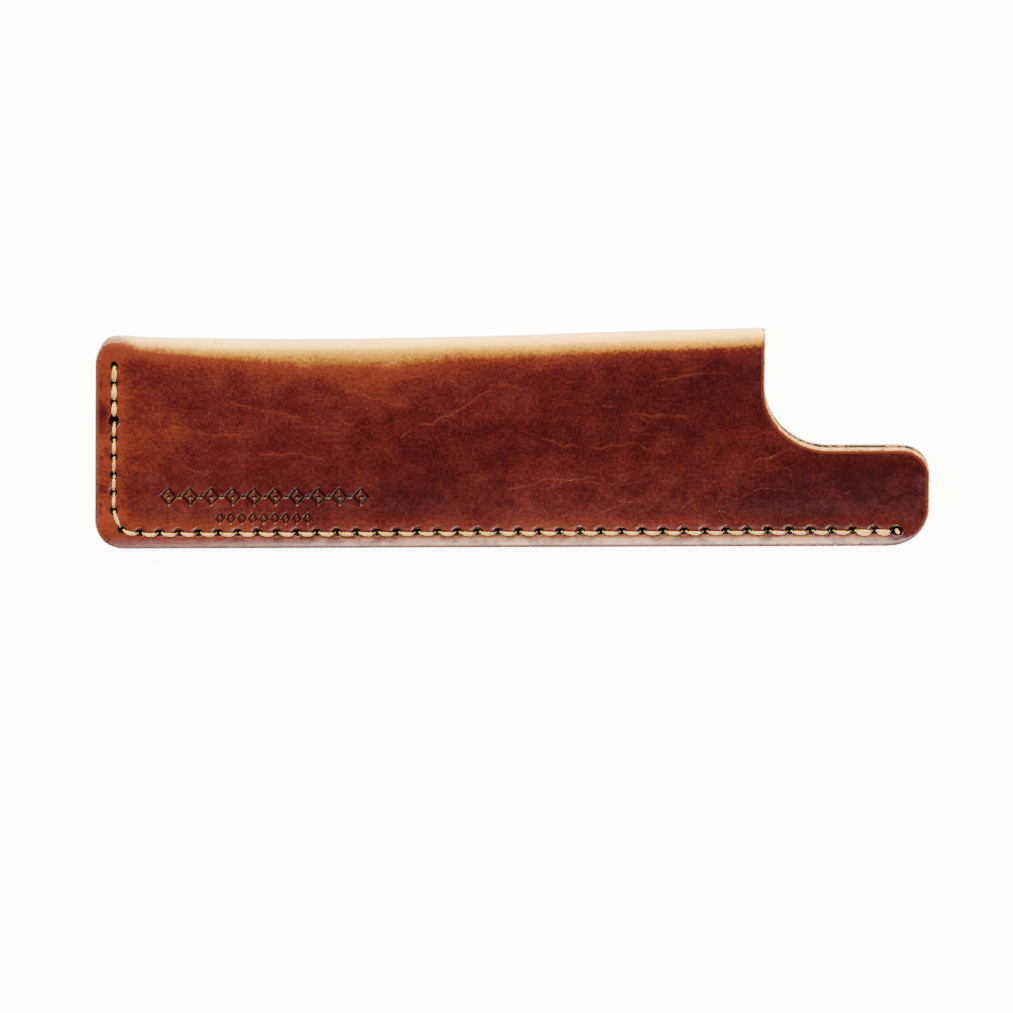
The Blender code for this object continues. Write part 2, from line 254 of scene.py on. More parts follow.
# Blind tooling in the lower left of the front: a row of lozenges and dots, and small lozenges below.
TOOLING_DEPTH = 0.34
TOOLING_EDGE = 0.16  # width of the tool marks' sloping sides
UPPER_ROW = {"start": 13.4, "y": 10.3, "pitch": 3.85, "count": 10}
UPPER_HALF_SIZE, UPPER_STROKE = (1.35, 1.45), 0.22
DOT_RADIUS, DOT_BETWEEN_RADIUS = 0.34, 0.3
LOWER_ROW = {"start": 22.6, "y": 6.1, "pitch": 1.98, "count": 9}
LOWER_HALF_SIZE, LOWER_STROKE = (0.72, 0.85), 0.16
TOOLED_AREA = ((11.0, 50.6), (4.6, 12.4))

# A narrow dark line of painted shade runs along the fold, just in front of its middle.
FOLD_SHADE_S, FOLD_SHADE_WIDTH = 0.12, 0.4


def crease_lines(side):
    lines = []
    for crease in CREASES:
        places = np.array(crease, dtype=float)
        if side < 0:
            places = np.array(CREASE_TURN) - places
        lines.append(np.stack([places[:, 0], along_leather(*places.T)], axis=1))
    return lines


def crease_mark(points, side):
    """1 along a crease, fading to 0 beside it."""
    mark = np.zeros(len(points))
    for line in crease_lines(side):
        low, high = line.min(axis=0) - CREASE_REACH, line.max(axis=0) + CREASE_REACH
        near = np.flatnonzero(np.all((points > low) & (points < high), axis=1))
        near = near[distance_to_line(points[near], line) < CREASE_REACH]
        push = np.stack([perlin(points[near], CREASE_WANDER_LENGTH, seed) for seed in (1.0, 2.0)], axis=1)
        strayed = points[near] + CREASE_WANDER * push
        patchy = smooth(0.75 + 1.1 * perlin(points[near], CREASE_PATCH_LENGTH, 4.0))
        mark[near] = np.maximum(mark[near], patchy * bell(distance_to_line(strayed, line), CREASE_WIDTH))
    return mark


def lozenge(dx, dy, half_width, half_height):
    """Signed distance from a lozenge's outline."""
    scale = half_width * half_height / math.hypot(half_width, half_height)
    return (np.abs(dx) / half_width + np.abs(dy) / half_height - 1) * scale


def tooling(x, y):
    """How far the tool has pressed in, from 0 to 1: lozenges and dots, with small lozenges below."""
    distance = np.full(len(x), np.inf)
    for i in range(UPPER_ROW["count"]):
        dx = x - (UPPER_ROW["start"] + UPPER_ROW["pitch"] * i)
        dy = y - UPPER_ROW["y"]
        ring = np.abs(lozenge(dx, dy, *UPPER_HALF_SIZE)) - UPPER_STROKE
        dot = np.hypot(dx, dy) - DOT_RADIUS
        between = np.hypot(dx - UPPER_ROW["pitch"] / 2, dy) - DOT_BETWEEN_RADIUS
        distance = np.minimum(distance, np.minimum(ring, dot))
        if i < UPPER_ROW["count"] - 1:
            distance = np.minimum(distance, between)
    for i in range(LOWER_ROW["count"]):
        dx = x - (LOWER_ROW["start"] + LOWER_ROW["pitch"] * i)
        dy = y - LOWER_ROW["y"]
        distance = np.minimum(distance, np.abs(lozenge(dx, dy, *LOWER_HALF_SIZE)) - LOWER_STROKE)
    return 1 - smooth(distance / TOOLING_EDGE + 0.5)


def perlin(points, wavelength, seed):
    """Smooth noise between about -1 and 1, for each flat place."""
    return np.array([noise.noise(Vector((x / wavelength, s / wavelength, seed))) for x, s in points])


def surface_marks(points):
    """What each flat place is near, in millimetres (to_...), and what marks it, from 0 to 1."""
    x, s = points.T
    mirrored = one_side(points)
    y = seen_y(x, s)
    front = s > 0
    in_area = front & (x > TOOLED_AREA[0][0]) & (x < TOOLED_AREA[0][1])
    in_area &= (y > TOOLED_AREA[1][0]) & (y < TOOLED_AREA[1][1])
    tooled = np.zeros(len(x))
    tooled[in_area] = tooling(x[in_area], y[in_area])
    crease = np.where(front, crease_mark(points, 1), 0)
    crease[~front] = crease_mark(mirrored[~front], -1)
    return {
        "tooled": tooled,
        "crease": crease,
        "to_edge": distance_to_line(mirrored, CUT_EDGE),
        "to_opening": distance_to_line(mirrored, OPEN_EDGE),
        "to_seam": distance_to_line(mirrored, FLAT_HOLES),
        "to_hole": distance_to_points(mirrored, FLAT_HOLES),
        "to_fold": np.maximum(np.abs(s) - QUARTER, 0),
        "over_fold": np.maximum(1 - np.abs(s) / QUARTER, 0),
        "fold_shade": bell(s - FOLD_SHADE_S, FOLD_SHADE_WIDTH),
    }


MARGIN = 2.6  # the leather rounds off over this width towards its sewn edge
END_MARGIN_SHARE = 1.2  # the margin at the closed end is narrower by this
MARGIN_DROP, MARGIN_ROUNDNESS = 0.75, 1.25
EDGE_DROP, EDGE_EASE = 0.1, 1.1  # the cut edge's own rounding, all round
SHOULDER_DROP, SHOULDER_START, SHOULDER_REACH = 0.34, 4.0, 9.0  # pressed thinner just above the seam
SKIVE_DEPTH, SKIVE_REACH = 0.3, 2.6  # the tab and notch are pared thinner towards their edge
SEAM_GROOVE_DEPTH, SEAM_GROOVE_WIDTH = 0.16, 0.6
HOLE_DIMPLE_DEPTH, HOLE_DIMPLE_WIDTH = 0.4, 0.78
WAVES_MEAN = 0.1
WAVES = [(0.11, 21, 3.0), (0.045, 6.5, 8.0)]  # (height, wavelength, seed)
GRAIN_HEIGHT, GRAIN_LENGTH = 0.012, 1.3
FACE_SINK = 0.06  # room for what stands a little proud of the face


def sink(points, marks):
    """How far the outer surface lies below the CAD's, in millimetres."""
    x, s = points.T
    height = seen_y(x, s) - bottom_line(x)
    above_seam = height - SEAM_Y
    back_to_full = 1 - smooth((above_seam - SHOULDER_START) / SHOULDER_REACH)
    shoulder = SHOULDER_DROP * smooth(above_seam / PILLOW) * back_to_full
    from_sewn_edge = np.minimum(height, x * END_MARGIN_SHARE)
    slope_down = MARGIN_DROP * np.clip(1 - from_sewn_edge / MARGIN, 0, 1) ** MARGIN_ROUNDNESS
    eased = EDGE_DROP * np.clip(1 - marks["to_edge"] / EDGE_EASE, 0, 1) ** 2
    skived = SKIVE_DEPTH * smooth(1 - marks["to_opening"] / SKIVE_REACH)
    groove = SEAM_GROOVE_DEPTH * bell(marks["to_seam"], SEAM_GROOVE_WIDTH)
    groove = groove + HOLE_DIMPLE_DEPTH * bell(marks["to_hole"], HOLE_DIMPLE_WIDTH)
    waves = WAVES_MEAN
    for wave_height, wavelength, seed in WAVES:
        waves = waves + wave_height * perlin(points, wavelength, seed)
    flat_enough = smooth(marks["to_edge"] / 3) * smooth((marks["to_seam"] - 0.5) / 3)
    grain = GRAIN_HEIGHT + GRAIN_HEIGHT * perlin(points, GRAIN_LENGTH, 5.0)
    pressed = TOOLING_DEPTH * marks["tooled"] + CREASE_DEPTH * marks["crease"]
    flat_part = np.maximum(waves, 0) * flat_enough + shoulder
    return FACE_SINK + slope_down + eased + skived + groove + flat_part + grain + pressed


# ---- The leather's mesh ----

UNIT = 0.15  # the finest spacing of the lattice that fills the leather's face
FACE_STEP, SEAM_STEP, INNER_STEP = 4, 2, 12  # in units
FINE_PAST_FOLD, FINE_BESIDE_SEAM = 0.6, 1.7  # how far the seam's spacing reaches
SEAM_BAND = 6.0  # no place further from the sewn edges can be beside the seam
CREASED = 0.02  # a crease's mark above this takes the finest spacing
OUTER_ROOM, INNER_ROOM, HOLE_ROOM = 0.12, 0.5, 0.08  # kept between the lattice and the rim or a hole
SAME_PLACE = 1e-9  # triangulation takes places closer than this for one
RIM_ROWS = [  # (distance in from the edge, depth into the leather), from the outside to the inside
    (0.55, 0.0),
    (0.30, 0.04),
    (0.12, 0.16),
    (0.0, 0.42),
    (0.0, 0.8),
    (0.0, 1.2),
    (0.12, 1.46),
    (0.3, 1.56),
    (0.55, 1.6),
]
GRAIN_ROWS, FLESH_ROWS = 1, 3  # how many of the rim's strips are grain and flesh, and the rest are edge
HOLE_ROWS = [(1.25, 0.0), (1.05, 0.08), (0.92, 0.25), (0.75, 0.9), (0.5, 1.4)]  # (size, depth) down a pit
HOLE_HALF_LENGTH, HOLE_HALF_WIDTH = 0.7, 0.52
HOLE_POINTS = 12
BIG_HOLES = {3: 1.45, len(HOLES) - 1: 1.4}  # two holes that the awl opened wide


def inward(ring):
    """Unit vectors pointing into a closed ring."""
    along = np.roll(ring, -1, axis=0) - np.roll(ring, 1, axis=0)
    normal = np.stack([-along[:, 1], along[:, 0]], axis=1)
    area = np.sum(ring[:, 0] * np.roll(ring[:, 1], -1) - np.roll(ring[:, 0], -1) * ring[:, 1])
    return normal / np.linalg.norm(normal, axis=1)[:, None] * np.sign(area)


def inside(points, ring):
    """Which points a closed ring holds, by counting the edges to the right of each."""
    held = np.zeros(len(points), dtype=bool)
    x, y = points.T
    for (x0, y0), (x1, y1) in zip(ring, np.roll(ring, -1, axis=0)):
        if y0 != y1:
            crosses = ((y0 > y) != (y1 > y)) & (x < x0 + (y - y0) * (x1 - x0) / (y1 - y0))
            held ^= crosses
    return held


def hole_rings():
    """Centre and outline of each hole in the flat blank, both sides."""
    rings = []
    directions = np.arctan2(*np.gradient(HOLES, axis=0).T[::-1])
    turns = np.linspace(0, 2 * math.pi, HOLE_POINTS, endpoint=False)
    for number, ((x, y), direction) in enumerate(zip(HOLES, directions)):
        size = BIG_HOLES.get(number, 1.0)
        for side in (1, -1):
            along = HOLE_HALF_LENGTH * size * np.cos(turns)
            across = HOLE_HALF_WIDTH * size * np.sin(turns)
            dx = along * math.cos(direction) - across * math.sin(direction)
            dy = along * math.sin(direction) + across * math.cos(direction)
            centre = np.array([x, side * along_leather(x, y)])
            rings.append((centre, np.stack([dx, -side * dy], axis=1)))
    return rings


def lattice(step_at):
    """Points of a square lattice over the blank. step_at gives the spacing at each point, in units."""
    reach = along_leather(0, -1)
    columns = np.arange(0, LENGTH + 1, UNIT)
    rows = np.arange(-round(reach / UNIT), round(reach / UNIT) + 1) * UNIT
    i, j = np.meshgrid(np.arange(len(columns)), np.arange(len(rows)), indexing="ij")
    i, j = i.ravel(), j.ravel()
    on_seam_lattice = (i % SEAM_STEP == 0) & (j % SEAM_STEP == 0)
    points = np.stack([columns[i], rows[j]], axis=1)
    step = step_at(points, on_seam_lattice)
    kept = (i % step == 0) & (j % step == 0)
    return points[kept]


def outer_step(points, on_seam_lattice):
    """Fine at creases and tooling, medium at the seam and the fold, coarser elsewhere."""
    step = np.full(len(points), FACE_STEP)
    x, s = points.T
    mirrored = one_side(points)
    y = seen_y(x, s)
    near_fold = np.abs(s) < QUARTER + FINE_PAST_FOLD
    step[on_seam_lattice & near_fold] = SEAM_STEP
    candidates = on_seam_lattice & ((y < SEAM_BAND) | (x < SEAM_BAND))
    near_seam = distance_to_line(mirrored[candidates], FLAT_HOLES) < FINE_BESIDE_SEAM
    step[np.flatnonzero(candidates)[near_seam]] = SEAM_STEP
    for side in (1, -1):
        near = (s > 0) if side > 0 else (s < 0)
        creased = crease_mark(mirrored[near], side) > CREASED
        step[np.flatnonzero(near)[creased]] = 1
    (x0, x1), (y0, y1) = TOOLED_AREA
    step[(s > 0) & (x > x0) & (x < x1) & (y > y0) & (y < y1)] = 1
    return step


def inner_step(points, _):
    return np.full(len(points), INNER_STEP)


def filled(ring, holes, points, room):
    """Triangles between a ring, its holes and the lattice points: (places, triangles)."""
    mirrored = one_side(points)
    clear = distance_to_line(mirrored, CUT_EDGE) > RIM_ROWS[0][0] + room
    for number, centre in enumerate(FLAT_HOLES):
        hole_reach = HOLE_HALF_LENGTH * HOLE_ROWS[0][0] * BIG_HOLES.get(number, 1.0)
        clear &= np.linalg.norm(mirrored - centre, axis=1) > hole_reach + HOLE_ROOM
    points = points[clear]
    points = points[inside(points, ring)]

    loops = [ring, *holes]
    edges = []
    owner = []
    start = 0
    for number, loop in enumerate(loops):
        numbers = np.arange(start, start + len(loop))
        edges += list(zip(numbers.tolist(), np.roll(numbers, -1).tolist()))
        owner += [number] * len(loop)
        start += len(loop)
    places = np.concatenate([*loops, points])
    owner = np.array(owner + [-1] * len(points))
    corners = [Vector(place) for place in places]
    _, _, triangles, originals, _, _ = delaunay_2d_cdt(corners, edges, [], 0, SAME_PLACE)
    firsts = np.array([same[0] for same in originals])
    triangles = firsts[np.array(triangles)]
    owners = owner[triangles]
    one_loop = (owners[:, 0] == owners[:, 1]) & (owners[:, 1] == owners[:, 2])
    in_hole = one_loop & (owners[:, 0] > 0)
    on_ring = np.flatnonzero(one_loop & (owners[:, 0] == 0))
    beyond_ring = np.zeros(len(triangles), dtype=bool)
    beyond_ring[on_ring] = ~inside(places[triangles[on_ring]].mean(axis=1), ring)
    return places, triangles[~in_hole & ~beyond_ring]


def wall(rows):
    """Quads between rows of vertex numbers, each row a closed ring."""
    quads = []
    for row, following in zip(rows[:-1], rows[1:]):
        quads += np.stack([row, np.roll(row, -1), np.roll(following, -1), following], axis=1).tolist()
    return quads


def make_mesh(name, places, faces, materials, face_materials=None, sharp_deg=None):
    """An object from places in millimetres."""
    mesh = bpy.data.meshes.new(name)
    mesh.from_pydata((places * MM).tolist(), [], faces)
    for material in materials:
        mesh.materials.append(material)
    if face_materials is not None:
        mesh.polygons.foreach_set("material_index", face_materials)
    mesh.shade_smooth()
    if sharp_deg:
        mesh.set_sharp_from_angle(angle=math.radians(sharp_deg))
    mesh.validate()
    made = bpy.data.objects.new(name, mesh)
    bpy.context.scene.collection.objects.link(made)
    return made


def make_leather(materials):
    """The folded blank: its grain side, cut edges and flesh side, and the pit of each stitch hole."""
    ring = resampled(OUTLINE, RING_STEP, closed=True)
    into = inward(ring)
    holes = hole_rings()
    rim = [ring + into * distance for distance, _ in RIM_ROWS]
    pits = [[centre + outline * size for size, _ in HOLE_ROWS] for centre, outline in holes]

    pit_tops = [rows[0] for rows in pits]
    outer_places, outer_triangles = filled(rim[0], pit_tops, lattice(outer_step), OUTER_ROOM)
    inner_places, inner_triangles = filled(rim[-1], [], lattice(inner_step), INNER_ROOM)
    flat = [outer_places, inner_places]
    depths = [np.zeros(len(outer_places)), np.full(len(inner_places), LEATHER)]
    total = len(outer_places) + len(inner_places)

    walls, pit_floors = [], []
    for rows, kinds, first in (
        (rim[:-1], RIM_ROWS, 0),
        *((pit, HOLE_ROWS, len(ring) + HOLE_POINTS * number) for number, pit in enumerate(pits)),
    ):
        count = len(rows[0])
        numbers = [np.arange(first, first + count)]
        for row, (_, depth) in zip(rows[1:], kinds[1:]):
            numbers.append(np.arange(total, total + count))
            flat.append(row)
            depths.append(np.full(count, depth))
            total += count
        if first == 0:
            numbers.append(np.arange(len(outer_places), len(outer_places) + count))
        else:
            pit_floors.append(numbers[-1].tolist())
        walls.append(wall(numbers))

    flat = np.concatenate(flat)
    depth = np.concatenate(depths)
    marks = surface_marks(flat)
    sunk = sink(flat, marks) * (1 - depth / LEATHER)
    places = folded(flat[:, 0], flat[:, 1], depth + sunk)

    rim_faces = walls[0]
    pit_faces = [quad for quads in walls[1:] for quad in quads]
    faces = outer_triangles.tolist() + (inner_triangles[:, ::-1] + len(outer_places)).tolist()
    faces += rim_faces + pit_faces + pit_floors
    grain, edge, flesh = range(3)
    edge_rows = len(RIM_ROWS) - 1 - GRAIN_ROWS - FLESH_ROWS
    rim_kinds = [grain] * GRAIN_ROWS + [edge] * edge_rows + [flesh] * FLESH_ROWS
    kinds = [grain] * len(outer_triangles) + [flesh] * len(inner_triangles)
    for kind in rim_kinds:
        kinds += [kind] * len(ring)
    kinds += [edge] * (len(pit_faces) + len(pit_floors))
    sheath = make_mesh("sheath", places, faces, materials, kinds)
    for name, values in marks.items():
        attribute = sheath.data.attributes.new(name, "FLOAT", "POINT")
        attribute.data.foreach_set("value", values.astype(np.float32))
    return sheath


# ---- Thread ----

PLIES = 3
PLY_RADIUS = 0.185
TWIST_RADIUS = 0.175  # from the thread's middle to each ply's
TWIST_PITCH = 1.7
PLY_SIDES = 7
THREAD_STEP = 0.16
STITCH_DIVE = 1.35  # how deep a stitch's ends go into their holes
STITCH_RISE = 0.13  # how high its middle is above the leather
STITCH_SHY = 0.38  # how far its ends stay from the middles of the holes
BIG_HOLE_SHY = 0.4  # and how much further beside a big hole
STITCH_FULLNESS = 1.9  # 2 would be half an ellipse
STITCH_STEPS = 60
THREAD_BED = 0.04  # how far above the leather's mean height a stitch is bedded
SLANT = 0.07
LOWER_SIDE = 0.4  # along the bottom, how far the thread lies to the outer side of its holes
DOUBLED = {0: 0.18, 1: 0.18, 2: 0.18, len(HOLES) - 3: 0.2, len(HOLES) - 2: 0.2}  # spread of the two threads
PHASE_STEP = 1.3  # turn of the twist from one stitch to the next, in radians
TAIL_SINK, TAIL_STEPS = 0.2, 12
TAIL_START = (0.05, -0.05, -1.0)  # from the last hole's middle
TAIL_END = (0.42, -0.42, 0.22)
TAIL_BOW = 0.5


def stitch_path(start, end, side, sideways):
    """The middle of one stitch, from inside one hole to inside the next, in the row frame."""
    span = end - start
    length = np.linalg.norm(span)
    along = span / length
    across = np.array([-along[1], along[0]])
    turn = np.linspace(0, math.pi, STITCH_STEPS)
    run = -np.sign(np.cos(turn)) * np.abs(np.cos(turn)) ** (2 / STITCH_FULLNESS)
    rise = np.sin(turn) ** (2 / STITCH_FULLNESS)
    middle = (start + end) / 2
    slanted = sideways * rise - SLANT * run - LOWER_SIDE * max(along[0], 0)
    plan = middle + np.outer(run * (length / 2 - STITCH_SHY), along) + np.outer(slanted, across)
    flat = np.stack([plan[:, 0], along_leather(*plan.T)], axis=1)
    top = folded(*flat.T, sink(flat, surface_marks(flat)))
    bed = top[:, 2].mean() + THREAD_BED
    height = bed - STITCH_DIVE + (STITCH_DIVE + STITCH_RISE) * rise
    z = np.where(side > 0, height, 2 * MID_Z - height)
    return np.stack([top[:, 0], top[:, 1], z], axis=1)


def tail_path(hole, side):
    """The thread's cut end, which stands a little out of the last hole."""
    x, y = hole
    top = folded(np.array([x]), np.array([along_leather(x, y)]), np.array([TAIL_SINK]))[0]
    share = np.linspace(0, 1, TAIL_STEPS)[:, None]
    start, end = top + TAIL_START, top + TAIL_END
    bow = np.array((0.0, 0.0, TAIL_BOW)) * np.sin(share * math.pi)
    path = start + (end - start) * share + bow
    if side < 0:
        path[:, 2] = 2 * MID_Z - path[:, 2]
    return path


def twisted(path, phase):
    """The plies of one length of thread: (places, faces)."""
    run = np.concatenate([[0], np.cumsum(np.linalg.norm(np.diff(path, axis=0), axis=1))])
    steps = max(round(run[-1] / THREAD_STEP), 4)
    at = np.linspace(0, run[-1], steps + 1)
    centre = np.stack([np.interp(at, run, path[:, k]) for k in range(3)], axis=1)
    along = np.gradient(centre, axis=0)
    along /= np.linalg.norm(along, axis=1)[:, None]
    level = path[-1] - path[0]
    level[2] = 0
    across = np.cross((0, 0, 1), level / np.linalg.norm(level))
    up = np.cross(along, across)
    sides = np.linspace(0, 2 * math.pi, PLY_SIDES, endpoint=False)
    places, faces = [], []
    for ply in range(PLIES):
        angle = phase + 2 * math.pi * (at / TWIST_PITCH + ply / PLIES)
        out = np.outer(np.cos(angle), across) + up * np.sin(angle)[:, None]
        middle = centre + out * TWIST_RADIUS
        lean = np.gradient(middle, axis=0)
        lean /= np.linalg.norm(lean, axis=1)[:, None]
        flank = np.cross(lean, out)
        ring = middle[:, None] + PLY_RADIUS * (
            out[:, None] * np.cos(sides)[:, None] + flank[:, None] * np.sin(sides)[:, None]
        )
        first = ply * len(at) * PLY_SIDES
        rows = first + np.arange(len(at) * PLY_SIDES).reshape(len(at), PLY_SIDES)
        faces += wall(rows)
        faces += [rows[0][::-1].tolist(), rows[-1].tolist()]
        places.append(ring.reshape(-1, 3))
    return np.concatenate(places), faces


def make_stitches(name, side, material):
    """Every stitch on one face of the sheath, the doubled ones and the thread's end."""
    paths = []
    for number, (start, end) in enumerate(zip(HOLES[:-1], HOLES[1:])):
        along = (end - start) / np.linalg.norm(end - start)
        if number in BIG_HOLES:
            start = start + along * BIG_HOLE_SHY
        if number + 1 in BIG_HOLES:
            end = end - along * BIG_HOLE_SHY
        spread = DOUBLED.get(number, 0)
        for sideways in (spread, -spread) if spread else (0,):
            paths.append(stitch_path(start, end, side, sideways))
    paths.append(tail_path(HOLES[-1], side))
    places, faces = [], []
    total = 0
    for number, path in enumerate(paths):
        points, quads = twisted(path, phase=number * PHASE_STEP)
        places.append(points)
        faces += [[v + total for v in face] for face in quads]
        total += len(points)
    return make_mesh(name, np.concatenate(places), faces, [material], sharp_deg=60)


# ---- Comb ----

COMB_LOW, COMB_HIGH = (np.array(corner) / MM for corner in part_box("comb"))
NOTCH_CLEAR = 3.6
TEETH_ROOT = 18.6
COMB_CORNER, COMB_CHAMFER, HANDLE_CORNER = 3.0, 1.0, 3.7
GUARD_TOOTH = 3.6
GUARD_BEVEL = (0.25, 0.3)  # on the inner corners of the two guard teeth
FINE_TEETH, FINE_PITCH = 25, 2.0
COARSE_TEETH, COARSE_PITCH = 16, 3.1
TOOTH_SHARE, TIP_SHARE, TIP_HEIGHT = 0.54, 0.26, 1.1
COMB_EASE = 0.14  # rounding of the comb's edges


def comb_outline():
    """The comb seen from above, anticlockwise, in the sheath's x and y, with rounded tips and roots."""
    left, back = COMB_LOW[0] - LOW[0], COMB_LOW[1] - LOW[1]
    right, tips = COMB_HIGH[0] - LOW[0], COMB_HIGH[1] - LOW[1]
    notch = (MOUTH_X + NOTCH_RADIUS, TAB_TOP + NOTCH_RADIUS)
    hollow = NOTCH_RADIUS + NOTCH_CLEAR
    handle_x, handle_top = right - HANDLE_CORNER, notch[1] - hollow
    shoulder_x = notch[0] - hollow

    teeth = []
    x = left + GUARD_TOOTH
    for count, pitch in ((FINE_TEETH, FINE_PITCH), (COARSE_TEETH, COARSE_PITCH)):
        for _ in range(count):
            teeth.append((x + pitch * (1 - TOOTH_SHARE), pitch))
            x += pitch
    last_gap = x + COARSE_PITCH * (1 - TOOTH_SHARE)

    points = [
        *arc((left + COMB_CORNER, back + COMB_CORNER), COMB_CORNER, 180, 270, 10),
        *arc((handle_x, back + HANDLE_CORNER), HANDLE_CORNER, 270, 360, 12),
        *arc((handle_x, handle_top - HANDLE_CORNER), HANDLE_CORNER, 0, 90, 12),
        *arc(notch, hollow, 270, 180, 20),
        *arc((shoulder_x - COMB_CHAMFER, tips - COMB_CHAMFER), COMB_CHAMFER, 0, 90, 6),
    ]
    points += [(last_gap + GUARD_BEVEL[0], tips), (last_gap, tips - GUARD_BEVEL[1])]
    gap_right = last_gap
    for tooth_left, pitch in reversed(teeth):
        tooth_right = tooth_left + pitch * TOOTH_SHARE
        root = (gap_right - tooth_right) / 2
        points += list(arc((gap_right - root, TEETH_ROOT + root), root, 0, -180, 6))
        tip = pitch * TIP_SHARE / 2
        middle = (tooth_left + tooth_right) / 2
        points += [(tooth_right, tips - TIP_HEIGHT)]
        points += list(arc((middle, tips - tip), tip, 20, 160, 6))
        points += [(tooth_left, tips - TIP_HEIGHT)]
        gap_right = tooth_left
    guard_right = left + GUARD_TOOTH
    root = (gap_right - guard_right) / 2
    points += list(arc((gap_right - root, TEETH_ROOT + root), root, 0, -180, 6))
    points += [(guard_right, tips - GUARD_BEVEL[1]), (guard_right - GUARD_BEVEL[0], tips)]
    points += list(arc((left + COMB_CHAMFER, tips - COMB_CHAMFER), COMB_CHAMFER, 90, 180, 6))
    return np.array(points)


def make_comb(material):
    """The outline twice over, joined by a wall whose edges are eased."""
    outline = comb_outline()
    into = inward(outline)
    bottom, top = COMB_LOW[2], COMB_HIGH[2]
    rows = [(COMB_EASE, 0), (COMB_EASE * 0.3, COMB_EASE * 0.3), (0, COMB_EASE)]
    heights = [(inset, bottom + rise) for inset, rise in rows]
    heights += [(inset, top - rise) for inset, rise in rows[::-1]]
    places, numbers = [], []
    for inset, z in heights:
        ring = outline + into * inset
        numbers.append(np.arange(len(outline)) + len(places) * len(outline))
        places.append(np.column_stack([ring + LOW[:2], np.full(len(ring), z)]))
    edges = [(i, (i + 1) % len(outline)) for i in range(len(outline))]
    corners = [Vector(place[:2]) for place in places[0]]
    _, _, triangles, originals, _, _ = delaunay_2d_cdt(corners, edges, [], 1, SAME_PLACE)
    cap = np.array([same[0] for same in originals])[np.array(triangles)]
    faces = wall(numbers) + cap[:, ::-1].tolist() + (cap + numbers[-1][0]).tolist()
    return make_mesh("steel_comb", np.concatenate(places), faces, [material], sharp_deg=50)


# ---- Materials ----


class Shader:
    """A material and short ways to add nodes to it. Lengths in its patterns are millimetres."""

    def __init__(self, name, **constants):
        self.material = bpy.data.materials.new(name)
        self.material.use_nodes = True
        self.tree = self.material.node_tree
        self.surface = self.tree.nodes["Principled BSDF"]
        for socket, value in constants.items():
            self.surface.inputs[socket.replace("_", " ")].default_value = value
        coordinates = self.tree.nodes.new("ShaderNodeTexCoord")
        self.place = self.vector("SCALE", coordinates.outputs["Object"], Scale=1 / MM)

    def node(self, kind, inputs, **settings):
        made = self.tree.nodes.new(kind)
        for name, value in settings.items():
            setattr(made, name, value)
        for socket, value in inputs.items():
            target = made.inputs[socket]
            if isinstance(value, bpy.types.NodeSocket):
                self.tree.links.new(value, target)
            else:
                target.default_value = value
        return made

    def vector(self, operation, first, second=None, **inputs):
        sockets = {0: first, **inputs}
        if second is not None:
            sockets[1] = second
        return self.node("ShaderNodeVectorMath", sockets, operation=operation).outputs[0]

    def math(self, operation, *values):
        return self.node("ShaderNodeMath", dict(enumerate(values)), operation=operation).outputs[0]

    def noise(self, wavelength, detail, roughness=0.5, stretch=None):
        place = self.vector("MULTIPLY", self.place, stretch) if stretch else self.place
        sockets = {"Vector": place, "Scale": 1 / wavelength, "Detail": detail, "Roughness": roughness}
        return self.node("ShaderNodeTexNoise", sockets).outputs["Fac"]

    def cells(self, size, feature="F1", place=None):
        sockets = {"Vector": place or self.place, "Scale": 1 / size}
        return self.node("ShaderNodeTexVoronoi", sockets, feature=feature).outputs["Distance"]

    def bent_place(self, wavelength, amount):
        """The place, pushed about by noise, for patterns that shouldn't look regular."""
        sockets = {"Vector": self.place, "Scale": 1 / wavelength, "Detail": 3.0}
        push = self.node("ShaderNodeTexNoise", sockets).outputs["Color"]
        centred = self.vector("SUBTRACT", push, (0.5, 0.5, 0.5))
        return self.vector("ADD", self.place, self.vector("SCALE", centred, Scale=amount))

    def mark(self, name):
        return self.node("ShaderNodeAttribute", {}, attribute_name=name).outputs["Fac"]

    def ramp(self, value, low, high, low_out=0.0, high_out=1.0):
        """Goes smoothly from low_out to high_out as value goes from low to high."""
        sockets = {0: value, 1: low, 2: high, 3: low_out, 4: high_out}
        made = self.node("ShaderNodeMapRange", sockets, interpolation_type="SMOOTHSTEP")
        return made.outputs[0]

    def mix(self, share, first, second):
        """The first colour where share is 0, the second where it is 1."""
        first, second = (c if isinstance(c, bpy.types.NodeSocket) else (*c, 1.0) for c in (first, second))
        sockets = {0: share, 6: first, 7: second}  # 6, 7 and output 2 are the node's colour sockets
        return self.node("ShaderNodeMix", sockets, data_type="RGBA").outputs[2]

    def bump(self, height, distance, normal=None):
        """distance is how high the pattern's 1 stands over its 0, in millimetres."""
        sockets = {"Height": height, "Distance": distance * MM, "Strength": 1.0}
        if normal:
            sockets["Normal"] = normal
        return self.node("ShaderNodeBump", sockets).outputs[0]

    def finish(self, **sockets):
        for socket, value in sockets.items():
            self.tree.links.new(value, self.surface.inputs[socket.replace("_", " ")])
        return self.material


# The leather's colours, from the waxed face to where it is bent; the pale over the fold is the pull-up with
# a painted highlight there, the pale pink along the sewn margin a painted highlight, and the near black
# dirt, edge dye, and painted shade round the holes, in the tool marks and along the rim.
DEEP = (0.021, 0.0017, 0.0034)
BROWN = (0.054, 0.0054, 0.0085)
ORANGE = (0.135, 0.027, 0.018)
PALE = (0.66, 0.35, 0.035)
MARGIN_HIGHLIGHT = (0.72, 0.4, 0.28)
UMBER = (0.006, 0.0015, 0.0012)
NARROW_REACH, WIDER_BY = 1.3, 2.0  # how far from the fold the pull-up reaches, and more where it is widest
DARK_PATCH_Y = 4.2  # where the closed end's margin has a dark patch


